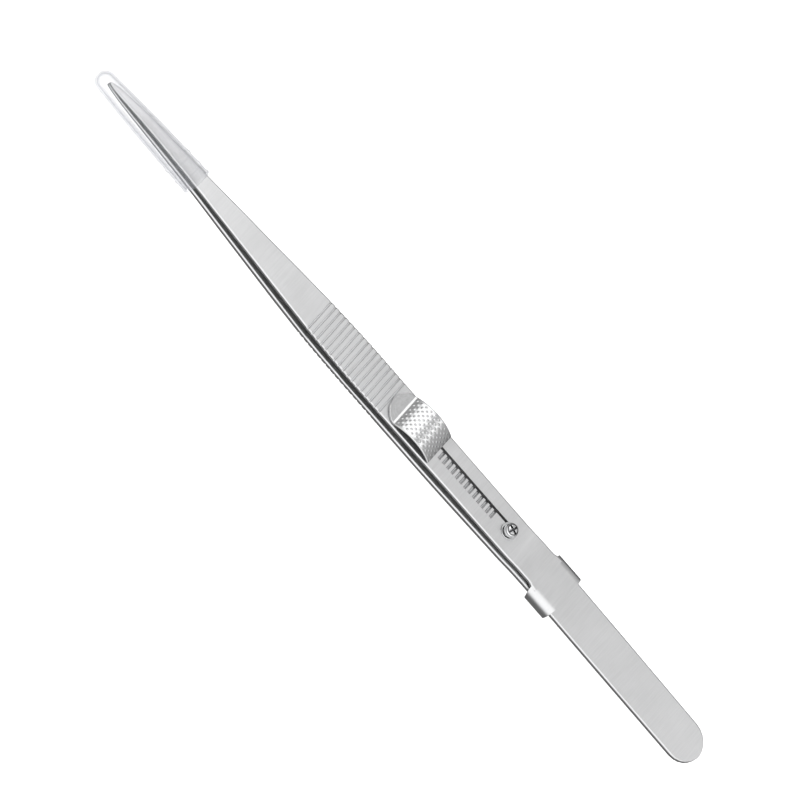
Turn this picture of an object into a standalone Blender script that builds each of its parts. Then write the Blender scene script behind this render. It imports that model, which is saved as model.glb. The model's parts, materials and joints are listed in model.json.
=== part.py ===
"""Slide-lock tweezers for handling prints, with a soft cap over the tips.

Millimetres are used throughout and scaled to metres where vertices are made.
Along the tool, x counts from the metal tips (0) to the rounded end of the tail.
Heights are counted from the flat top of the front leaf, and world() lifts them
so that the lowest point of the tool lies on z = 0.
"""

import math

import bpy
from mathutils import Vector

MM = 0.001

# Overall layout along the tool
TAIL_END = 160.0
CAP_END = -2.5
CAP_MOUTH = 23.4
CENTRE_X = (TAIL_END + CAP_END) / 2
FLEX_X = 115.8
FLEX_GAP = 0.1
CLIP_START = 116.1
CLIP_END = 122.25

# Leaf sheets
FRONT_THICK = 0.85
REAR_THICK = 1.1
TIP_THICK = 0.55
EDGE = 0.36
CORNER_STEPS = 3
TAIL_DROP = 0.0267
TAIL_ROUND = 4.2

# Lock: track in the front leaf, slit in both, slide, tang and foot
SLIDE_TRAVEL = 17.2
TRACK_HALF = 1.1
TRACK_FRONT = 85.3
TRACK_DEPTH = 0.12
GROOVE_COUNT = 13
GROOVE_FIRST = 88.5
GROOVE_PITCH = 1.157
GROOVE_LENGTH = 0.76
GROOVE_FLOOR_LENGTH = 0.16
GROOVE_DEPTH = 0.42
GROOVE_INSET = 0.02
SLIT_LOW_Y = 0.65
SLIT_FRONT = 85.1
SLIT_REAR = 105.5
REAR_SLIT_MARGIN = 0.15
SCREW_X = 106.6
KEYHOLE_RADIUS = 1.5

# Grip: shallow cross grooves on both outer faces
GRIP_FIRST = 55.3
GRIP_COUNT = 17
GRIP_PITCH = 1.216
GRIP_DEPTH = 0.2
# Half widths of a groove at its mouth and at its floor, as parts of the pitch
GRIP_MOUTH = 0.19
GRIP_FLOOR = 0.05
# Where the leaves' smooth stretches get a cross section
PLAIN_STATIONS = (0.25, 0.7, 1.5, 2.7, 4, 5.5, 7, 8.5, 10, 13, 16, 20, 25, 32, 41, 48,
                  78, 87, 92, 98, 102, 108.3, 109.4, 110.6, 111.8, 113, 115, 115.4, 115.7, 116.0)
# The tips' outline is rounded over this length, and starts with a small flat
TIP_ROUND = 1.5
TIP_FLAT = 0.1

# Thumb slide
SLIDE_HALF = 3.6
SHEET = 0.5
SLIDE_GAP = 0.05
TONGUE_FRONT = 75.0
FOLD_X = 78.1
ARCH_REAR = 87.3
ARCH_HEIGHT = 2.1
ARCH_STEPS = 16
# The arch's middle surface, a circular arc from the fold to the rear edge
SHEET_REST = SLIDE_GAP + SHEET / 2
ARCH_TOP = ARCH_HEIGHT - SHEET / 2
ARCH_HALF_CHORD = (ARCH_REAR - FOLD_X) / 2
ARCH_MIDDLE = FOLD_X + ARCH_HALF_CHORD
ARCH_RADIUS = (ARCH_HALF_CHORD ** 2 + (ARCH_TOP - SHEET_REST) ** 2) / (2 * (ARCH_TOP - SHEET_REST))

# Tang and foot
TANG_X = 86.5
TANG_LENGTH = 1.2
TANG_LOW_Y = 0.74
TANG_HIGH_Y = 1.01
FOOT_CLEARANCE = 0.68
FOOT_THICK = 0.4
FOOT_LENGTH = 2.0
FOOT_HALF = 1.7

# Screw and bush
HEAD_RADIUS = 1.3
HEAD_LOW = 0.5
HEAD_TOP = 1.5
SHANK_RADIUS = 0.62
BUSH_RADIUS = 1.42
BUSH_BORE = 0.7
BUSH_BELOW = 0.2
BUSH_MOUTH = 1.25
BUSH_FLOOR = -0.6
FLANGE_RADIUS = 1.62
FLANGE_LOW = 0.05
FLANGE_TOP = 0.18
RECESS_LENGTH = 1.8
RECESS_WIDTH = 0.4
RECESS_DEPTH = 0.55
RECESS_TURN = -15.0

# Clip: sides of the front leaf folded round the rear leaf
CLIP_HALF = 5.17
CLIP_INNER_HALF = 4.36
CLIP_CLEARANCE = 0.06
CLIP_LIP = 0.6
CLIP_LIP_HALF = 2.6
CLIP_CORNER = 2.0
# How far the folded sides draw in at the front and the rear, for each millimetre down from the top
CLIP_FRONT_TAPER = 0.42
CLIP_REAR_TAPER = 0.03

# Tip cap: it sags a little towards its nose
CAP_NOSE_AXIS = -2.5
CAP_MOUTH_AXIS = -1.75
CAP_WALL = 0.35
CAP_DOME = 1.9

ROUND_SEGMENTS = 32
# How far cutters run past the faces they open
CUT = 1.0
OVERCUT = 0.1

# Plan outlines: (x, half width)
FRONT_PLAN = [(0, 0.42), (3, 0.7), (25, 1.75), (32, 2.2), (41, 2.72), (50, 3.3), (59, 3.77),
              (68, 3.96), (80, 3.9), (92, 3.8), (115, 3.75), (115.7, 3.84), (116.3, 4.15)]
REAR_PLAN = [(0, 0.5), (3, 0.8), (25, 2.0), (32, 2.5), (41, 3.08), (50, 3.68), (59, 4.1),
             (68, 4.22), (118, 4.23), (130, 4.21), (160, 4.08)]
# Top of the front leaf and the gap between the leaves with the lock shut: (x, mm)
FRONT_TOP = [(0, -1.35), (4, -0.8), (10, -0.25), (25, -0.03), (60, 0.0), (108.3, 0.0), (113, 0.25),
             (130, 0.25)]
LEAF_GAP = [(0, 0.08), (1.5, 0.12), (4, 0.45), (10, 0.85), (25, 0.85), (45, 1.08), (60, 1.15), (87, 1.15),
            (FLEX_X, 0.45), (130, 0.45)]
FRONT_SHEET = [(0, TIP_THICK), (25, 0.8), (45, FRONT_THICK), (130, FRONT_THICK)]
REAR_SHEET = [(0, TIP_THICK), (25, 1.0), (45, REAR_THICK), (160, REAR_THICK)]
# Outer radius of the tip cap behind its domed nose: (x, mm)
CAP_OUTLINE = [(CAP_END + CAP_DOME, 1.9), (3.8, 2.16), (10.5, 2.46), (17.2, 2.62), (CAP_MOUTH, 2.82)]


def smooth(points, x):
    """Value at x on a smooth curve through points, which stays level where they do."""
    if x <= points[0][0]:
        return points[0][1]
    if x >= points[-1][0]:
        return points[-1][1]
    slopes = [(b[1] - a[1]) / (b[0] - a[0]) for a, b in zip(points, points[1:])]
    i = max(k for k in range(len(slopes)) if points[k][0] <= x)

    def tangent(k):
        if k == 0 or k == len(slopes):
            return slopes[min(k, len(slopes) - 1)]
        before, after = slopes[k - 1], slopes[k]
        return 0.0 if before * after <= 0 else 2 * before * after / (before + after)

    step = points[i + 1][0] - points[i][0]
    t = (x - points[i][0]) / step
    return ((2 * t ** 3 - 3 * t ** 2 + 1) * points[i][1] + (t ** 3 - 2 * t ** 2 + t) * step * tangent(i)
            + (3 * t ** 2 - 2 * t ** 3) * points[i + 1][1] + (t ** 3 - t ** 2) * step * tangent(i + 1))


def front_top(x):
    return smooth(FRONT_TOP, x)


def rear_top(x):
    """Top of the rear leaf: below the front leaf, then sloping down along the tail."""
    top = front_top(x) - smooth(FRONT_SHEET, x) - smooth(LEAF_GAP, x)
    return top - TAIL_DROP * max(0.0, x - CLIP_END)


def rear_bottom(x):
    return rear_top(x) - smooth(REAR_SHEET, x)


FOOT_TOP = rear_bottom(TANG_X) - FOOT_CLEARANCE
LOWEST = min(FOOT_TOP - FOOT_THICK, CAP_MOUTH_AXIS - CAP_OUTLINE[-1][1])


def world(x, y, z):
    """A point in the tool's own millimetres, as metres in the part's frame."""
    return Vector(((x - CENTRE_X) * MM, y * MM, (z - LOWEST) * MM))


def material(name, colour, roughness, metallic, alpha=1.0):
    made = bpy.data.materials.get(name) or bpy.data.materials.new(name)
    made.use_nodes = True
    shader = made.node_tree.nodes["Principled BSDF"]
    shader.inputs["Base Color"].default_value = (*colour, 1.0)
    shader.inputs["Roughness"].default_value = roughness
    shader.inputs["Metallic"].default_value = metallic
    shader.inputs["Alpha"].default_value = alpha
    return made


def new_object(name, points, faces, finish=None):
    mesh = bpy.data.meshes.new(name)
    mesh.from_pydata([world(*p) for p in points], [], faces)
    mesh.validate()
    mesh.shade_smooth()
    mesh.set_sharp_from_angle(angle=math.radians(25))
    piece = bpy.data.objects.new(name, mesh)
    bpy.context.scene.collection.objects.link(piece)
    if finish:
        mesh.materials.append(finish)
    return piece


def cutter(name, points, faces):
    guide = new_object(name, points, faces)
    guide.hide_render = True
    guide.display_type = "WIRE"
    return guide


def combine(piece, other, operation):
    step = piece.modifiers.new(other.name, "BOOLEAN")
    step.operation = operation
    step.object = other
    step.solver = "EXACT"


def ring_faces(rings, count):
    """Side quads between rings of equal size, with an n-gon at each end."""
    faces = [tuple(range(count))]
    for r in range(rings - 1):
        for i in range(count):
            j = (i + 1) % count
            a = r * count
            faces.append((a + i, a + count + i, a + count + j, a + j))
    faces.append(tuple(reversed(range((rings - 1) * count, rings * count))))
    return faces


def strip(name, stations, finish=None, make=new_object, edge=EDGE):
    """A round-edged sheet metal strip: stations are (x, z of its middle, tilt, half width, thickness)."""
    points = []
    turns = [math.pi / 2 * k / CORNER_STEPS for k in range(CORNER_STEPS + 1)]
    for x, z, tilt, half, thick in stations:
        c = min(edge, half * 0.6, thick * 0.45)
        y, n = half - c, thick / 2 - c
        section = [(y + c * math.sin(a), n + c * math.cos(a)) for a in turns]
        section += [(y + c * math.cos(a), -n - c * math.sin(a)) for a in turns]
        section += [(-y - c * math.sin(a), -n - c * math.cos(a)) for a in turns]
        section += [(-y - c * math.cos(a), n + c * math.sin(a)) for a in turns]
        points += [(x + up * math.sin(tilt), across, z + up * math.cos(tilt)) for across, up in section]
    faces = ring_faces(len(stations), 4 * len(turns))
    if make is cutter:
        return make(name, points, faces)
    return make(name, points, faces, finish)


def boxes(name, spans, finish=None, make=new_object):
    """Closed boxes in one mesh, each ((x0, x1), (y0, y1), (z0, z1))."""
    points = []
    faces = []
    for (x0, x1), (y0, y1), (z0, z1) in spans:
        b = len(points)
        points += [(x, y, z) for x in (x0, x1) for y in (y0, y1) for z in (z0, z1)]
        faces += [tuple(b + i for i in f) for f in
                  ((0, 1, 3, 2), (4, 6, 7, 5), (0, 4, 5, 1), (2, 3, 7, 6), (0, 2, 6, 4), (1, 5, 7, 3))]
    if make is cutter:
        return make(name, points, faces)
    return make(name, points, faces, finish)


def lathe(name, profile, along_x, centre, finish=None, make=new_object, segments=ROUND_SEGMENTS, lean=0.0):
    """Turns a closed profile of (distance along the axis, radius) round the X or Z axis.

    lean is how much each ring is lifted for every millimetre along the X axis.
    """
    points = []
    rows = []
    for along, radius in profile:
        first = len(points)
        count = 1 if radius == 0 else segments
        rows.append((first, count))
        for i in range(count):
            a = 2 * math.pi * i / segments
            u, v = radius * math.cos(a), radius * math.sin(a)
            offset = (along, u, v + lean * along) if along_x else (u, v, along)
            points.append(tuple(c + o for c, o in zip(centre, offset)))
    faces = []
    for (a, na), (b, nb) in zip(rows, rows[1:] + rows[:1]):
        if na == 1 and nb == 1:
            continue
        for i in range(segments):
            j = (i + 1) % segments
            ring = [a + i % na, a + j % na, b + j % nb, b + i % nb]
            faces.append(tuple(dict.fromkeys(ring)))
    if make is cutter:
        return make(name, points, faces)
    return make(name, points, faces, finish)


def leaf_stations(x0, x1, plan, top, thick, grip_sign):
    """Stations of a leaf, close together at the tip and in the grip grooves."""
    grip_last = GRIP_FIRST + (GRIP_COUNT - 1) * GRIP_PITCH
    plain = {x for x in PLAIN_STATIONS if x0 < x < x1} | {x0, x1}
    rows = [(x, 0) for x in plain if not GRIP_FIRST - 1 < x < grip_last + 1]
    for k in range(GRIP_COUNT):
        middle = GRIP_FIRST + k * GRIP_PITCH
        rows += [(middle + side * GRIP_MOUTH * GRIP_PITCH, 0) for side in (-1, 1)]
        rows += [(middle + side * GRIP_FLOOR * GRIP_PITCH, GRIP_DEPTH) for side in (-1, 1)]
    stations = []
    for x, depth in sorted(rows):
        t = smooth(thick, x) - depth
        half = smooth(plan, x)
        if x < TIP_ROUND:
            half *= math.sqrt(1 - (1 - (x + TIP_FLAT) / (TIP_ROUND + TIP_FLAT)) ** 2)
        z = top(x) - smooth(thick, x) / 2 - grip_sign * depth / 2
        stations.append((x, z, 0.0, half, t))
    return stations


def make_front_leaf(finish):
    leaf = strip("front_leaf", leaf_stations(0, CLIP_START + 1.2, FRONT_PLAN, front_top, FRONT_SHEET, 1),
                 finish)
    combine(leaf, make_clip(), "UNION")
    low, high = -FRONT_THICK - CUT, CUT
    track = ((TRACK_FRONT, SCREW_X), (-TRACK_HALF, TRACK_HALF), (-TRACK_DEPTH, high))
    recess = boxes("track_cutter", [track], make=cutter)
    combine(leaf, recess, "DIFFERENCE")
    middles = [GROOVE_FIRST + k * GROOVE_PITCH for k in range(GROOVE_COUNT)]
    combine(leaf, tooth_cutter(middles), "DIFFERENCE")
    through = ((SLIT_FRONT, SLIT_REAR), (SLIT_LOW_Y, TRACK_HALF), (low, high))
    slit = boxes("slit_cutter", [through], make=cutter)
    combine(leaf, slit, "DIFFERENCE")
    drill = [(low, 0), (low, KEYHOLE_RADIUS), (high, KEYHOLE_RADIUS), (high, 0)]
    hole = lathe("keyhole_cutter", drill, False, (SCREW_X, 0, 0), make=cutter)
    combine(leaf, hole, "DIFFERENCE")
    return leaf


def tooth_cutter(middles):
    """Wedges that cut the track's row of V grooves."""
    top, floor = -TRACK_DEPTH + OVERCUT, -TRACK_DEPTH - GROOVE_DEPTH
    wide, narrow = GROOVE_LENGTH / 2, GROOVE_FLOOR_LENGTH / 2
    points = []
    faces = []
    for x in middles:
        first = len(points)
        for y in (-TRACK_HALF + GROOVE_INSET, SLIT_LOW_Y + OVERCUT):
            points += [(x - wide, y, top), (x - narrow, y, floor), (x + narrow, y, floor), (x + wide, y, top)]
        faces += [tuple(first + i for i in face) for face in ring_faces(2, 4)]
    return cutter("tooth_cutter", points, faces)


def make_clip():
    """The folded sides: a C-shaped section, with rounded shoulders, run along the clip."""
    top = front_top(CLIP_END)
    inner_top = rear_top(CLIP_START) + CLIP_CLEARANCE
    inner_low = rear_bottom(CLIP_END) - CLIP_CLEARANCE
    low = inner_low - CLIP_LIP
    right = []
    for k in range(9):
        a = math.radians(90 - 90 * k / 8)
        right.append((CLIP_HALF - CLIP_CORNER * (1 - math.cos(a)), top - CLIP_CORNER * (1 - math.sin(a))))
    for k in range(5):
        a = math.radians(-90 * k / 4)
        right.append((CLIP_HALF - CLIP_LIP * (1 - math.cos(a)), low + CLIP_LIP * (1 + math.sin(a))))
    right += [(CLIP_LIP_HALF, low), (CLIP_LIP_HALF, inner_low), (CLIP_INNER_HALF, inner_low),
              (CLIP_INNER_HALF, inner_top)]
    section = right + [(-y, z) for y, z in reversed(right)]
    points = [(CLIP_START + CLIP_FRONT_TAPER * (top - z), y, z) for y, z in section]
    points += [(CLIP_END - CLIP_REAR_TAPER * (top - z), y, z) for y, z in section]
    return cutter("clip_fold", points, ring_faces(2, len(section)))


def make_rear_leaf(finish):
    arm = strip("rear_leaf", leaf_stations(0, FLEX_X - FLEX_GAP, REAR_PLAN, rear_top, REAR_SHEET, -1), finish)
    middle = rear_top(TANG_X)
    slit = boxes("rear_slit_cutter",
                 [((SLIT_FRONT - REAR_SLIT_MARGIN, SLIT_REAR),
                   (SLIT_LOW_Y - REAR_SLIT_MARGIN, TRACK_HALF + REAR_SLIT_MARGIN),
                   (middle - REAR_THICK - CUT, middle + CUT))], make=cutter)
    combine(arm, slit, "DIFFERENCE")
    return arm


def make_rear_tail(finish):
    straight = TAIL_END - TAIL_ROUND
    xs = [FLEX_X + FLEX_GAP, CLIP_START, CLIP_END, 126, 130, 136, 142, 148, 152, straight]
    xs += [straight + TAIL_ROUND * math.sin(math.radians(a)) for a in (15, 30, 45, 58, 70, 80, 87)]
    stations = []
    for x in xs:
        round_off = math.sqrt(1 - max(0.0, (x - straight) / TAIL_ROUND) ** 2)
        stations.append((x, rear_top(x) - REAR_THICK / 2, 0.0, smooth(REAR_PLAN, x) * round_off, REAR_THICK))
    return strip("rear_leaf_tail", stations, finish)


def arch_underside(x):
    """Height just under the arch, with the small gap that separate pieces keep."""
    inner = ARCH_RADIUS - SHEET / 2
    return ARCH_TOP - ARCH_RADIUS + math.sqrt(inner ** 2 - (x - ARCH_MIDDLE) ** 2) - SLIDE_GAP


def make_thumb_slide(finish):
    """Half-round tongue lying on the leaf, then a fold and a round arch for the thumb."""
    round_length = FOLD_X - TONGUE_FRONT + 0.4
    stations = []
    for a in (4, 14, 26, 40, 54, 66, 80):
        x = TONGUE_FRONT + round_length * (1 - math.cos(math.radians(a)))
        stations.append((x, SHEET_REST, 0.0, SLIDE_HALF * math.sin(math.radians(a)), SHEET))
    spread = math.asin(ARCH_HALF_CHORD / ARCH_RADIUS)
    for k in range(ARCH_STEPS + 1):
        a = -spread + 2 * spread * k / ARCH_STEPS
        tilt = a if k else a / 2
        thick = SHEET if k else SHEET / math.cos(a / 2)
        x = ARCH_MIDDLE + ARCH_RADIUS * math.sin(a)
        z = ARCH_TOP - ARCH_RADIUS * (1 - math.cos(a))
        stations.append((x, z, tilt, SLIDE_HALF, thick))
    return strip("thumb_slide", stations, finish, edge=0.1)


def make_tang(finish):
    """Thin blade from under the arch, through the slits of both leaves, to the foot."""
    front, rear = TANG_X - TANG_LENGTH / 2, TANG_X + TANG_LENGTH / 2
    low = FOOT_TOP + SLIDE_GAP
    side = [(front, low), (front, arch_underside(front)), (rear, arch_underside(rear)), (rear, low)]
    points = [(x, y, z) for y in (TANG_LOW_Y, TANG_HIGH_Y) for x, z in side]
    return new_object("slide_tang", points, [tuple(reversed(f)) for f in ring_faces(2, len(side))], finish)


def make_foot(finish):
    """Plate outside the rear leaf that pulls it shut."""
    stations = [(TANG_X + s * FOOT_LENGTH / 2, FOOT_TOP - FOOT_THICK / 2, 0.0, FOOT_HALF, FOOT_THICK)
                for s in (-1, 1)]
    return strip("slide_foot", stations, finish, edge=0.1)


def make_screw(finish):
    """Pan-head screw with a cross recess, standing in the keyhole as the slide's stop."""
    shank_low = -FRONT_THICK
    profile = [(shank_low, 0), (shank_low, SHANK_RADIUS), (HEAD_LOW, SHANK_RADIUS), (HEAD_LOW, HEAD_RADIUS)]
    dome_low = HEAD_LOW + 0.4
    for k in range(6):
        a = math.radians(15 * k)
        profile.append((dome_low + (HEAD_TOP - dome_low) * math.sin(a), HEAD_RADIUS * math.cos(a) ** 0.6))
    profile.append((HEAD_TOP, 0))
    screw = lathe("stop_screw", profile, False, (SCREW_X, 0, 0), finish)
    for name, turn in (("recess_along", RECESS_TURN), ("recess_across", RECESS_TURN + 90)):
        combine(screw, recess_bar(name, math.radians(turn)), "DIFFERENCE")
    return screw


def recess_bar(name, turn):
    """One bar of the cross recess, turned about the screw's axis."""
    half_long, half_short = RECESS_LENGTH / 2, RECESS_WIDTH / 2
    points = []
    for z in (HEAD_TOP + CUT, HEAD_TOP - RECESS_DEPTH):
        for a, b in ((-1, -1), (1, -1), (1, 1), (-1, 1)):
            u, v = a * half_long, b * half_short
            points.append((SCREW_X + u * math.cos(turn) - v * math.sin(turn),
                           u * math.sin(turn) + v * math.cos(turn), z))
    return cutter(name, points, ring_faces(2, 4))


def make_bush(finish):
    """Flanged ring in the keyhole, wide at its mouth and threaded below, that holds the screw."""
    low = -FRONT_THICK - BUSH_BELOW
    profile = [(low, BUSH_BORE), (low, BUSH_RADIUS), (FLANGE_LOW, BUSH_RADIUS), (FLANGE_LOW, FLANGE_RADIUS),
               (FLANGE_TOP, FLANGE_RADIUS), (FLANGE_TOP, BUSH_MOUTH), (BUSH_FLOOR, BUSH_MOUTH),
               (BUSH_FLOOR, BUSH_BORE)]
    return lathe("screw_bush", profile, False, (SCREW_X, 0, 0), finish)


def make_cap(finish):
    """Thin soft sleeve with a domed end and a wide mouth."""
    shoulder, nose_radius = CAP_OUTLINE[0]
    outer = [(CAP_END, 0)]
    inner = [(CAP_END + CAP_WALL, 0)]
    for k in range(1, 6):
        a = math.radians(15 * k)
        outer.append((shoulder - CAP_DOME * math.cos(a), nose_radius * math.sin(a)))
        inner.append((shoulder - (CAP_DOME - CAP_WALL) * math.cos(a), (nose_radius - CAP_WALL) * math.sin(a)))
    steps = 12
    for k in range(steps + 1):
        x = shoulder + (CAP_MOUTH - shoulder) * k / steps
        outer.append((x, smooth(CAP_OUTLINE, x)))
        inner.append((x, smooth(CAP_OUTLINE, x) - CAP_WALL))
    lean = (CAP_MOUTH_AXIS - CAP_NOSE_AXIS) / (CAP_MOUTH - CAP_END)
    axis_at_tips = CAP_NOSE_AXIS - lean * CAP_END
    return lathe("tip_cap", outer + inner[::-1], True, (0, 0, axis_at_tips), finish, lean=lean)


def main():
    for old in list(bpy.data.objects):
        bpy.data.objects.remove(old, do_unlink=True)
    steel = material("satin_steel", (0.62, 0.63, 0.64), 0.34, 1.0)
    bright = material("bright_steel", (0.72, 0.73, 0.74), 0.2, 1.0)
    plastic = material("clear_soft_plastic", (0.9, 0.92, 0.93), 0.2, 0.0, alpha=0.35)
    make_front_leaf(steel)
    make_rear_leaf(steel)
    make_rear_tail(steel)
    make_thumb_slide(steel)
    make_tang(steel)
    make_foot(steel)
    make_screw(bright)
    make_bush(bright)
    make_cap(plastic)


main()
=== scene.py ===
"""Looks for the slide-lock tweezers: satin steel leaves, knurled thumb slide, cross-head screw
and a clear soft cap, on white, seen from above the lower edge with the tips at the upper left."""

import json
import math

import bmesh
import bpy
from mathutils import Matrix, Vector


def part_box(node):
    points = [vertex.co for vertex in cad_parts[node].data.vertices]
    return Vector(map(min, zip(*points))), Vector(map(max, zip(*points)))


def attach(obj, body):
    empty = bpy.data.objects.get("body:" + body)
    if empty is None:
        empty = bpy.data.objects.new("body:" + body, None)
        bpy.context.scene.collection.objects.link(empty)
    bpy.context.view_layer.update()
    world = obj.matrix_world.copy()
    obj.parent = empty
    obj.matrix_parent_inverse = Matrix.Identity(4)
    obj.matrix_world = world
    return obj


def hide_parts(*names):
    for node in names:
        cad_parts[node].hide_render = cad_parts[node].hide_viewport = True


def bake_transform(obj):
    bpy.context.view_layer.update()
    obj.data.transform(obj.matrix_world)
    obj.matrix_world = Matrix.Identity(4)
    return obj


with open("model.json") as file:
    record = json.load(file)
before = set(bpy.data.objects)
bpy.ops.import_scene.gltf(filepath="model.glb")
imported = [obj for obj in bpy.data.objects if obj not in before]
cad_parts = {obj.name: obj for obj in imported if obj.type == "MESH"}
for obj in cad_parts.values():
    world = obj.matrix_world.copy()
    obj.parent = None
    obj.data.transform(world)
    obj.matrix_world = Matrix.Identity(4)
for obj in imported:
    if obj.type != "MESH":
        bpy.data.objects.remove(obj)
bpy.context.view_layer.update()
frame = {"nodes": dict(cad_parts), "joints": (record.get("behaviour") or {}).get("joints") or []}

MM = 0.001

# CAD points this near become one point, and CAD faces this nearly level with each other become one face.
# Built pieces shade smooth over edges up to SHARP_ANGLE, and CAD edges above BEVEL_ANGLE are rounded
WELD_DISTANCE = 0.001 * MM
FLAT_ANGLE = math.radians(0.08)
SHARP_ANGLE = math.radians(30)
BEVEL_ANGLE = math.radians(34)
BEVEL_SEGMENTS = 2
LEAF_EDGE = 0.07 * MM
SCREW_EDGE = 0.05 * MM

# ---------------------------------------------------------------- places and sizes
slide_low, slide_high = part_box("thumb_slide")
cap_low, cap_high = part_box("tip_cap")
hinge = Vector(next(j["pos_m"] for j in frame["joints"] if j["name"] == "leaf_opening"))

# Thumb slide: half-round tongue, fold, then a round arch with knurled rows
TONGUE_LENGTH = 3.1 * MM
TONGUE_ROUND = 3.5 * MM
SLIDE_SHEET = 0.5 * MM
SLIDE_EDGE = 0.2 * MM
SLIDE_STEP = 0.1 * MM
SLIDE_START = 0.01 * MM
SLIDE_CORNER = [math.radians(a) for a in (0, 30, 60)]
SLIDE_UNDER_STEPS = 8
SLIDE_EDGE_SHARE = 0.45
FOLD_REACH = 0.35 * MM
KNURL_COLUMN = 0.5 * MM
KNURL_ROW = 1.15 * MM
KNURL_RADIUS = 0.21 * MM
KNURL_HEIGHT = 0.07 * MM
KNURL_MARGIN = 0.3 * MM

# Soft cap: a leaning sleeve with two raised rings and a beaded mouth. CAP_RADII gives the outer radius in
# millimetres at parts of the straight length. A ring has its distance from the mouth, half width and height
CAP_WALL = 0.35 * MM
CAP_DOME = 1.9 * MM
CAP_NOSE_RADIUS = 1.9 * MM
CAP_RADII = [(0.0, 1.9), (0.183, 2.16), (0.463, 2.46), (0.742, 2.62), (1.0, 2.74)]
CAP_RINGS = [(2.4 * MM, 0.35 * MM, 0.18 * MM),
             (5.0 * MM, 0.4 * MM, 0.18 * MM),
             (0.25 * MM, 0.3 * MM, 0.1 * MM)]
CAP_LEAN = 0.75 / 25.9
CAP_STEPS = 150
CAP_NOSE_STEPS = 12
CAP_SEGMENTS = 72

# Which of the screw's faces lie in its cross recess; these get a near black steel, painted shade for the
# shade that falls in it
RECESS_REACH = 1.0 * MM
RECESS_LIP = 0.06 * MM
RECESS_FLOOR = 0.75 * MM

# The rear leaf bends over this stretch, ending just before the clip; the faces where its two CAD parts
# meet lie within the seam's reach of the hinge
BEND_BEFORE = 5.0 * MM
BEND_AFTER = 0.25 * MM
BEND_CUTS = 12
SEAM_REACH = 0.2 * MM

# The floor lies this far down, clear of the rear leaf when it is fully open
FLOOR_DROP = 8.0 * MM
FLOOR_HALF = 1.5
FLOOR_GLOW = 0.55


# ---------------------------------------------------------------- small helpers
def link(name, mesh):
    """A new object in the scene from a mesh or a camera."""
    piece = bpy.data.objects.new(name, mesh)
    bpy.context.scene.collection.objects.link(piece)
    return piece


def mesh_piece(name, points, faces, material):
    """A smooth shaded piece from points and faces, with its corners kept sharp."""
    mesh = bpy.data.meshes.new(name)
    mesh.from_pydata([tuple(p) for p in points], [], faces)
    mesh.validate()
    mesh.shade_smooth()
    mesh.set_sharp_from_angle(angle=SHARP_ANGLE)
    mesh.materials.append(material)
    return link(name, mesh)


def applied(piece):
    """Replaces a piece's mesh by what its modifiers make of it."""
    depsgraph = bpy.context.evaluated_depsgraph_get()
    mesh = bpy.data.meshes.new_from_object(piece.evaluated_get(depsgraph))
    piece.modifiers.clear()
    piece.data = mesh
    return piece


def clean_copy(*nodes):
    """A bmesh of CAD nodes with their flat faces whole again instead of in triangles."""
    shape = bmesh.new()
    for node in nodes:
        shape.from_mesh(frame["nodes"][node].data)
    bmesh.ops.remove_doubles(shape, verts=shape.verts, dist=WELD_DISTANCE)
    bmesh.ops.dissolve_limit(shape, angle_limit=FLAT_ANGLE, verts=shape.verts, edges=shape.edges)
    return shape


def softened(name, shape, material, width):
    """A piece from a bmesh with every sharp edge slightly rounded, where there is room."""
    mesh = bpy.data.meshes.new(name)
    shape.to_mesh(mesh)
    shape.free()
    mesh.materials.clear()
    mesh.materials.append(material)
    mesh.shade_smooth()
    piece = link(name, mesh)
    bevel = piece.modifiers.new("soft_edges", "BEVEL")
    bevel.width = width
    bevel.segments = BEVEL_SEGMENTS
    bevel.limit_method = "ANGLE"
    bevel.angle_limit = BEVEL_ANGLE
    bevel.use_clamp_overlap = True
    even = piece.modifiers.new("even_normals", "WEIGHTED_NORMAL")
    even.mode = "FACE_AREA"
    even.weight = 100
    return applied(piece)


# ---------------------------------------------------------------- materials
# Grain is the noise's scale along X, Y and Z: brush lines across the leaves, or an even fleck
ACROSS = (900, 30, 900)
MIXED = (350, 350, 350)
STEEL_COLOUR = (0.62, 0.622, 0.626)
BRIGHT_COLOUR = (0.68, 0.685, 0.69)
# The recess colour is painted shade: near black steel for the screw's cross recess, standing in for the
# shade that falls there
RECESS_PAINTED_SHADE = (0.12, 0.12, 0.125)
# The plastic's gray is partly the vinyl's own bluish milkiness and partly painted shade, darker overall to
# stand in for the dark its refraction shows
PLASTIC_TINT_AND_SHADE = (0.55, 0.56, 0.6)


class Nodes:
    """Shorthand for building one material's node tree."""

    def __init__(self, name):
        self.material = bpy.data.materials.new(name)
        self.material.use_nodes = True
        self.tree = self.material.node_tree
        self.shader = self.tree.nodes["Principled BSDF"]

    def add(self, kind, inputs=None, **settings):
        node = self.tree.nodes.new(kind)
        for key, value in settings.items():
            setattr(node, key, value)
        for key, value in (inputs or {}).items():
            if isinstance(value, bpy.types.NodeSocket):
                self.tree.links.new(value, node.inputs[key])
            else:
                node.inputs[key].default_value = value
        return node

    def join(self, output, target):
        self.tree.links.new(output, self.shader.inputs[target])


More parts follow.
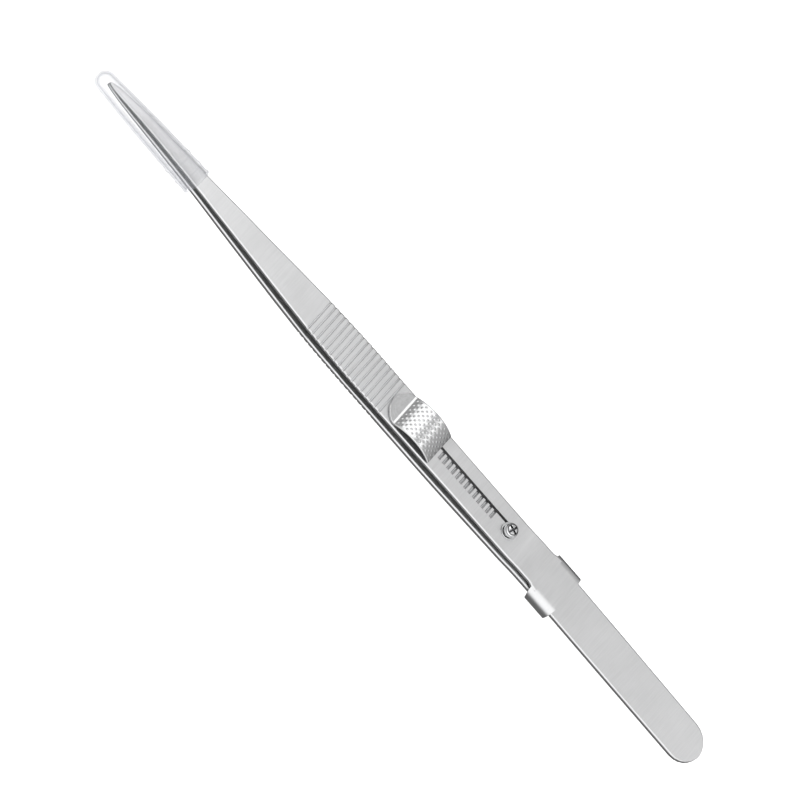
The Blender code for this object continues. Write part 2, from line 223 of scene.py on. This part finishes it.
def satin_metal(name, colour, roughness, grain, depth, streak, cloud=0.03):
    """Satin steel: fine brush lines, faint cloudiness, and a soft change of roughness; depth is in mm."""
    n = Nodes(name)
    place = n.add("ShaderNodeTexCoord").outputs["Object"]
    stretch = n.add("ShaderNodeMapping", {"Vector": place, "Scale": grain}).outputs["Vector"]
    lines = n.add("ShaderNodeTexNoise", {"Vector": stretch, "Scale": 6.0, "Detail": 5.0, "Roughness": 0.6})
    clouds = n.add("ShaderNodeTexNoise", {"Vector": place, "Scale": 160.0, "Detail": 3.0})
    fine = n.add("ShaderNodeMapRange", {"Value": lines.outputs["Fac"], "From Min": 0.3, "From Max": 0.7,
                                        "To Min": 1 - streak, "To Max": 1 + streak})
    broad = n.add("ShaderNodeMapRange", {"Value": clouds.outputs["Fac"], "From Min": 0.3, "From Max": 0.7,
                                         "To Min": 1 - cloud, "To Max": 1 + cloud})
    tone = n.add("ShaderNodeMath", {0: fine.outputs["Result"], 1: broad.outputs["Result"]},
                 operation="MULTIPLY")
    tint = n.add("ShaderNodeVectorMath", {0: colour, "Scale": tone.outputs[0]}, operation="SCALE")
    n.join(tint.outputs["Vector"], "Base Color")
    rough = n.add("ShaderNodeMapRange", {"Value": lines.outputs["Fac"], "From Min": 0.3, "From Max": 0.7,
                                         "To Min": roughness - 0.04, "To Max": roughness + 0.04})
    n.join(rough.outputs["Result"], "Roughness")
    bump = n.add("ShaderNodeBump", {"Height": lines.outputs["Fac"], "Strength": 0.3, "Distance": depth * MM})
    n.join(bump.outputs["Normal"], "Normal")
    n.shader.inputs["Metallic"].default_value = 1.0
    return n.material


def clear_plastic():
    """Soft clear vinyl: hazy where seen edge on, with a slight bluish milkiness, and grayer than the vinyl
    itself, painted shade for the dark its refraction shows.
    """
    n = Nodes("clear_soft_plastic")
    place = n.add("ShaderNodeTexCoord").outputs["Object"]
    haze = n.add("ShaderNodeTexNoise", {"Vector": place, "Scale": 420.0, "Detail": 3.0}).outputs["Fac"]
    rough = n.add("ShaderNodeMapRange", {"Value": haze, "To Min": 0.14, "To Max": 0.3})
    n.join(rough.outputs["Result"], "Roughness")
    tone = n.add("ShaderNodeMapRange", {"Value": haze, "To Min": 0.92, "To Max": 1.0})
    # Painted shade: the tint is darker than the clear vinyl's own, standing in for the dark seen through it
    tint = n.add("ShaderNodeVectorMath", {0: PLASTIC_TINT_AND_SHADE, "Scale": tone.outputs["Result"]},
                 operation="SCALE")
    n.join(tint.outputs["Vector"], "Base Color")
    edge = n.add("ShaderNodeLayerWeight", {"Blend": 0.5}).outputs["Facing"]
    cover = n.add("ShaderNodeMapRange", {"Value": edge, "To Min": 0.05, "To Max": 0.6})
    n.join(cover.outputs["Result"], "Alpha")
    bump = n.add("ShaderNodeBump", {"Height": haze, "Strength": 0.2, "Distance": 0.03 * MM})
    n.join(bump.outputs["Normal"], "Normal")
    n.shader.inputs["IOR"].default_value = 1.45
    return n.material


satin = satin_metal("satin_steel", STEEL_COLOUR, 0.36, ACROSS, 0.004, 0.05)
slide_steel = satin_metal("slide_steel", STEEL_COLOUR, 0.22, MIXED, 0.003, 0.03)
bright = satin_metal("bright_steel", BRIGHT_COLOUR, 0.16, MIXED, 0.002, 0.03)
# Painted shade: the near black steel put in the screw's cross recess in place of the shade inside it
painted_shade_recess_steel = satin_metal("painted_shade_recess_steel", RECESS_PAINTED_SHADE, 0.45, MIXED, 0.002, 0.05)
plastic = clear_plastic()


# ---------------------------------------------------------------- pieces
def make_front_leaf():
    """The front leaf with its grooves, track and clip, edges softened."""
    piece = softened("front_leaf_finished", clean_copy("front_leaf"), satin, LEAF_EDGE)
    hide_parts("front_leaf")
    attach(piece, "front")


def make_rear_leaf():
    """One springy strip from the tips to the tail, which bends just before the clip."""
    shape = clean_copy("rear_leaf", "rear_leaf_tail")
    seam = [f for f in shape.faces if all(abs(v.co.x - hinge.x) < SEAM_REACH for v in f.verts)]
    bmesh.ops.delete(shape, geom=seam, context="FACES")
    rims = [e for e in shape.edges if e.is_boundary]
    bmesh.ops.bridge_loops(shape, edges=rims)
    for k in range(BEND_CUTS + 1):
        x = hinge.x - BEND_BEFORE + (BEND_BEFORE + BEND_AFTER) * k / BEND_CUTS
        bmesh.ops.bisect_plane(shape, geom=shape.verts[:] + shape.edges[:] + shape.faces[:],
                               plane_co=(x, 0, 0), plane_no=(1, 0, 0))
    bmesh.ops.recalc_face_normals(shape, faces=shape.faces)
    piece = softened("rear_leaf_strip", shape, satin, LEAF_EDGE)
    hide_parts("rear_leaf", "rear_leaf_tail")
    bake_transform(piece)


def slide_middle():
    """Points (x, z) along the middle of the slide's sheet, evenly spaced, with a soft fold."""
    front, rear = slide_low.x, slide_high.x - SLIDE_SHEET / 2
    rest = slide_low.z + SLIDE_SHEET / 2
    top = slide_high.z - SLIDE_SHEET / 2
    fold = front + TONGUE_LENGTH
    half = (rear - fold) / 2
    rise = top - rest
    radius = (half ** 2 + rise ** 2) / (2 * rise)
    spread = math.asin(half / radius)
    points = []
    count = round(TONGUE_LENGTH / SLIDE_STEP)
    points += [(front + TONGUE_LENGTH * k / count, rest) for k in range(count)]
    count = round(2 * spread * radius / SLIDE_STEP)
    for k in range(count + 1):
        a = -spread + 2 * spread * k / count
        points.append((fold + half + radius * math.sin(a), top - radius * (1 - math.cos(a))))
    reach = round(FOLD_REACH / SLIDE_STEP)
    soft = []
    for i, (x, z) in enumerate(points):
        near = points[max(0, i - reach):i + reach + 1] if reach <= i < len(points) - reach else [(x, z)]
        soft.append((x, sum(p[1] for p in near) / len(near)))
    return soft


def knurl(along, y, half):
    """Height of the raised points at a place on the arch: staggered rows of small domes."""
    if abs(y) > half - KNURL_MARGIN or along < KNURL_MARGIN:
        return 0.0
    best = 0.0
    first = math.floor(along / KNURL_COLUMN)
    for column in (first, first + 1):
        shift = KNURL_ROW / 2 * (column % 2)
        row = round((y - shift) / KNURL_ROW)
        gap = math.hypot(along - column * KNURL_COLUMN, y - shift - row * KNURL_ROW)
        best = max(best, 1 - (gap / KNURL_RADIUS) ** 2)
    return KNURL_HEIGHT * best


def make_thumb_slide():
    """Sheet steel tongue and knurled arch: a cross section with rounded corners at each step of the path."""
    path = slide_middle()
    half_full = (slide_high.y - slide_low.y) / 2
    top_count = round(2 * half_full / SLIDE_STEP)
    points = []
    along = 0.0
    for i, (x, z) in enumerate(path):
        before, after = path[max(0, i - 1)], path[min(len(path) - 1, i + 1)]
        tilt = math.atan2(after[1] - before[1], after[0] - before[0])
        start = min(1.0, (x - slide_low.x + SLIDE_START) / TONGUE_ROUND)
        half = half_full * math.sqrt(1 - (1 - start) ** 2)
        if i:
            along += math.hypot(x - path[i - 1][0], z - path[i - 1][1])
        c = min(SLIDE_EDGE, SLIDE_EDGE_SHARE * half)
        h = SLIDE_SHEET / 2
        section = []
        for k in range(top_count + 1):
            y = (half - c) * (2 * k / top_count - 1)
            section.append((y, h + knurl(along - TONGUE_LENGTH, y, half)))
        section += [(half - c + c * math.sin(a), h - c + c * math.cos(a)) for a in SLIDE_CORNER[1:]]
        section += [(half - c + c * math.cos(a), -h + c - c * math.sin(a)) for a in SLIDE_CORNER]
        section += [((half - c) * (1 - 2 * k / SLIDE_UNDER_STEPS), -h) for k in range(SLIDE_UNDER_STEPS + 1)]
        section += [(-half + c - c * math.sin(a), -h + c - c * math.cos(a)) for a in SLIDE_CORNER[1:]]
        section += [(-half + c - c * math.cos(a), h - c + c * math.sin(a)) for a in SLIDE_CORNER]
        points += [(x - n * math.sin(tilt), y, z + n * math.cos(tilt)) for y, n in section]
    count = len(section)
    faces = [tuple(range(count))]
    for r in range(len(path) - 1):
        for i in range(count):
            j = (i + 1) % count
            faces.append((r * count + i, (r + 1) * count + i, (r + 1) * count + j, r * count + j))
    faces.append(tuple(reversed(range((len(path) - 1) * count, len(path) * count))))
    piece = mesh_piece("thumb_slide_knurled", points, faces, slide_steel)
    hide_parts("thumb_slide")
    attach(piece, "lock")


def make_screw():
    """Pan head screw, darkened by painted shade in its cross recess, and the ring it stands in."""
    for node in ("stop_screw", "screw_bush"):
        piece = softened(node + "_finished", clean_copy(node), bright, SCREW_EDGE)
        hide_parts(node)
        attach(piece, "front")
        if node == "stop_screw":
            low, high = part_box(node)
            centre = (low + high) / 2
            # The faces inside the cross recess get the painted shade material
            piece.data.materials.append(painted_shade_recess_steel)
            for face in piece.data.polygons:
                inside = math.hypot(face.center.x - centre.x, face.center.y - centre.y) < RECESS_REACH
                if inside and high.z - RECESS_FLOOR < face.center.z < high.z - RECESS_LIP:
                    face.material_index = 1


def lean_lathe(profile, segments, origin):
    """Rings round an axis along X that rises by CAP_LEAN, closed into a solid of revolution."""
    points = []
    rows = []
    for along, radius in profile:
        count = 1 if radius == 0 else segments
        rows.append((len(points), count))
        for i in range(count):
            a = 2 * math.pi * i / segments
            points.append((origin.x + along, origin.y + radius * math.cos(a),
                           origin.z + CAP_LEAN * along + radius * math.sin(a)))
    faces = []
    for (a, na), (b, nb) in zip(rows, rows[1:] + rows[:1]):
        if na == 1 and nb == 1:
            continue
        for i in range(segments):
            j = (i + 1) % segments
            faces.append(tuple(dict.fromkeys([a + i % na, a + j % na, b + j % nb, b + i % nb])))
    return points, faces


def cap_radius(part):
    """Outer radius of the sleeve at a part of its straight length, on straight runs between the listed
    radii.
    """
    for (p0, r0), (p1, r1) in zip(CAP_RADII, CAP_RADII[1:]):
        if part <= p1:
            t = (part - p0) / (p1 - p0)
            return (r0 + (r1 - r0) * t) * MM
    return CAP_RADII[-1][1] * MM


def make_cap():
    """Clear sleeve with a domed nose, two raised rings and a beaded mouth."""
    length = cap_high.x - cap_low.x
    straight = length - CAP_DOME
    outer = [(0.0, 0.0)]
    inner = [(CAP_WALL, 0.0)]
    for k in range(1, CAP_NOSE_STEPS):
        a = math.radians(90 * k / CAP_NOSE_STEPS)
        outer.append((CAP_DOME * (1 - math.cos(a)), CAP_NOSE_RADIUS * math.sin(a)))
        inner.append((CAP_DOME - (CAP_DOME - CAP_WALL) * math.cos(a),
                      (CAP_NOSE_RADIUS - CAP_WALL) * math.sin(a)))
    for k in range(CAP_STEPS + 1):
        part = k / CAP_STEPS
        x = CAP_DOME + straight * part
        radius = cap_radius(part)
        raised = radius
        for back, width, height in CAP_RINGS:
            gap = (length - back - x) / width
            raised += height * max(0.0, 1 - gap ** 2)
        outer.append((x, raised))
        inner.append((x, radius - CAP_WALL))
    axis_z = (cap_low.z + cap_high.z) / 2 - CAP_LEAN * length
    points, faces = lean_lathe(outer + inner[::-1], CAP_SEGMENTS, Vector((cap_low.x, 0, axis_z)))
    piece = mesh_piece("tip_cap_clear", points, faces, plastic)
    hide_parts("tip_cap")
    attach(piece, "cap")


make_front_leaf()
make_rear_leaf()
make_thumb_slide()
make_screw()
make_cap()
for node in ("slide_tang", "slide_foot"):
    frame["nodes"][node].data.materials.clear()
    frame["nodes"][node].data.materials.append(satin)


# ---------------------------------------------------------------- floor, light and camera
CAMERA_AZIMUTH = math.radians(-24.0)
CAMERA_ELEVATION = math.radians(58.0)
CAMERA_DIRECTION = Vector((math.cos(CAMERA_ELEVATION) * math.sin(CAMERA_AZIMUTH),
                           -math.cos(CAMERA_ELEVATION) * math.cos(CAMERA_AZIMUTH),
                           math.sin(CAMERA_ELEVATION)))
CAMERA_LENS = 1000.0
CAMERA_SENSOR = 36.0
CAMERA_REACH = 20
CAMERA_ROLL = math.radians(48.78)
CAMERA_DISTANCE = 3.8786
CAMERA_SHIFT = (1.12 * MM, -3.29 * MM)


def make_floor():
    """Plain white floor with a little glow of its own, which the metal does not mirror."""
    mesh = bpy.data.meshes.new("floor")
    corners = [(x * FLOOR_HALF, y * FLOOR_HALF, 0) for x, y in ((-1, -1), (1, -1), (1, 1), (-1, 1))]
    mesh.from_pydata(corners, [], [(0, 1, 2, 3)])
    n = Nodes("floor_white")
    place = n.add("ShaderNodeTexCoord").outputs["Object"]
    noise = n.add("ShaderNodeTexNoise", {"Vector": place, "Scale": 30.0}).outputs["Fac"]
    tone = n.add("ShaderNodeMapRange", {"Value": noise, "To Min": 0.9, "To Max": 0.92}).outputs["Result"]
    colour = n.add("ShaderNodeCombineColor", {"Red": tone, "Green": tone, "Blue": tone})
    n.join(colour.outputs["Color"], "Base Color")
    n.shader.inputs["Roughness"].default_value = 0.9
    n.shader.inputs["Emission Color"].default_value = (1, 1, 1, 1)
    n.shader.inputs["Emission Strength"].default_value = FLOOR_GLOW
    mesh.materials.append(n.material)
    floor = link("floor", mesh)
    floor.location.z = -FLOOR_DROP
    floor.visible_glossy = False


def softbox(name, direction, distance, size, radiance):
    """A square light facing the tool; radiance is what a mirror would show of it."""
    data = bpy.data.lights.new(name, "AREA")
    data.size = size
    data.energy = radiance * math.pi * size ** 2
    lamp = bpy.data.objects.new(name, data)
    bpy.context.scene.collection.objects.link(lamp)
    d = Vector(direction).normalized()
    lamp.location = d * distance
    lamp.rotation_euler = (-d).to_track_quat("-Z", "Y").to_euler()


def make_camera():
    """A long lens looking down from the lower edge's side, rolled so that the tips are at the upper left."""
    data = bpy.data.cameras.new("camera")
    data.lens = CAMERA_LENS
    data.sensor_width = CAMERA_SENSOR
    data.clip_end = CAMERA_REACH
    camera = link("camera", data)
    d = CAMERA_DIRECTION
    along = Vector((1, 0, 0))
    across = (along - along.dot(d) * d).normalized()
    down = across.cross(d).normalized()
    right = math.cos(CAMERA_ROLL) * across - math.sin(CAMERA_ROLL) * down
    below = math.sin(CAMERA_ROLL) * across + math.cos(CAMERA_ROLL) * down
    place = right * CAMERA_SHIFT[0] + below * CAMERA_SHIFT[1] + d * CAMERA_DISTANCE
    camera.matrix_world = Matrix((
        (right.x, -below.x, d.x, place.x), (right.y, -below.y, d.y, place.y),
        (right.z, -below.z, d.z, place.z), (0, 0, 0, 1)))
    bpy.context.scene.camera = camera


# Brightness of the surroundings by height, from straight down (0) over the horizon (0.5) to overhead (1),
# how it falls from the camera's side (0) to the far side (1), and how it dims towards the tips' end (0)
# and the tail's end (1)
BY_HEIGHT = [(0.0, 0.1), (0.47, 0.1), (0.54, 0.75), (0.66, 1.0), (1.0, 1.0)]
BY_SIDE = [(0.0, 1.7), (0.42, 1.6), (0.62, 0.75), (0.78, 0.62), (1.0, 0.6)]
BY_LENGTH = [(0.0, 0.45), (0.3, 0.85), (0.5, 1.0), (0.65, 1.0), (0.8, 0.9), (1.0, 0.75)]


def ramp(tree, value, stops):
    """A 0 to 1 map of a coordinate that runs from -1 to 1, through a few gray stops."""
    scale = tree.nodes.new("ShaderNodeMapRange")
    scale.inputs["From Min"].default_value = -1.0
    scale.inputs["From Max"].default_value = 1.0
    tree.links.new(value, scale.inputs["Value"])
    colours = tree.nodes.new("ShaderNodeValToRGB")
    tree.links.new(scale.outputs["Result"], colours.inputs["Fac"])
    elements = colours.color_ramp.elements
    elements.remove(elements[-1])
    for position, level in stops[1:]:
        elements.new(position)
    for element, (position, level) in zip(elements, stops):
        element.position = position
        element.color = (level, level, level, 1)
    return colours.outputs["Color"]


def make_world():
    """Studio surround: bright on the camera's side, softer on the far side, dark below the horizon."""
    world = bpy.data.worlds.new("studio")
    world.use_nodes = True
    tree = world.node_tree
    place = tree.nodes.new("ShaderNodeTexCoord")
    split = tree.nodes.new("ShaderNodeSeparateXYZ")
    tree.links.new(place.outputs["Generated"], split.inputs["Vector"])
    both = tree.nodes.new("ShaderNodeVectorMath")
    both.operation = "MULTIPLY"
    tree.links.new(ramp(tree, split.outputs["Z"], BY_HEIGHT), both.inputs[0])
    tree.links.new(ramp(tree, split.outputs["Y"], BY_SIDE), both.inputs[1])
    all_three = tree.nodes.new("ShaderNodeVectorMath")
    all_three.operation = "MULTIPLY"
    tree.links.new(both.outputs["Vector"], all_three.inputs[0])
    tree.links.new(ramp(tree, split.outputs["X"], BY_LENGTH), all_three.inputs[1])
    tree.links.new(all_three.outputs["Vector"], tree.nodes["Background"].inputs["Color"])
    bpy.context.scene.world = world


make_floor()
make_camera()
make_world()
# The key faces the arch's front slope and the tip half, the other one the tail, which slopes the other way
softbox("key_softbox", direction=(-0.225, 0.478, 0.858), distance=0.4, size=0.24, radiance=1.25)
softbox("tail_softbox", direction=(0.31, 0.29, 0.5), distance=0.62, size=0.14, radiance=1.4)
bpy.context.scene.view_settings.view_transform = "Standard"
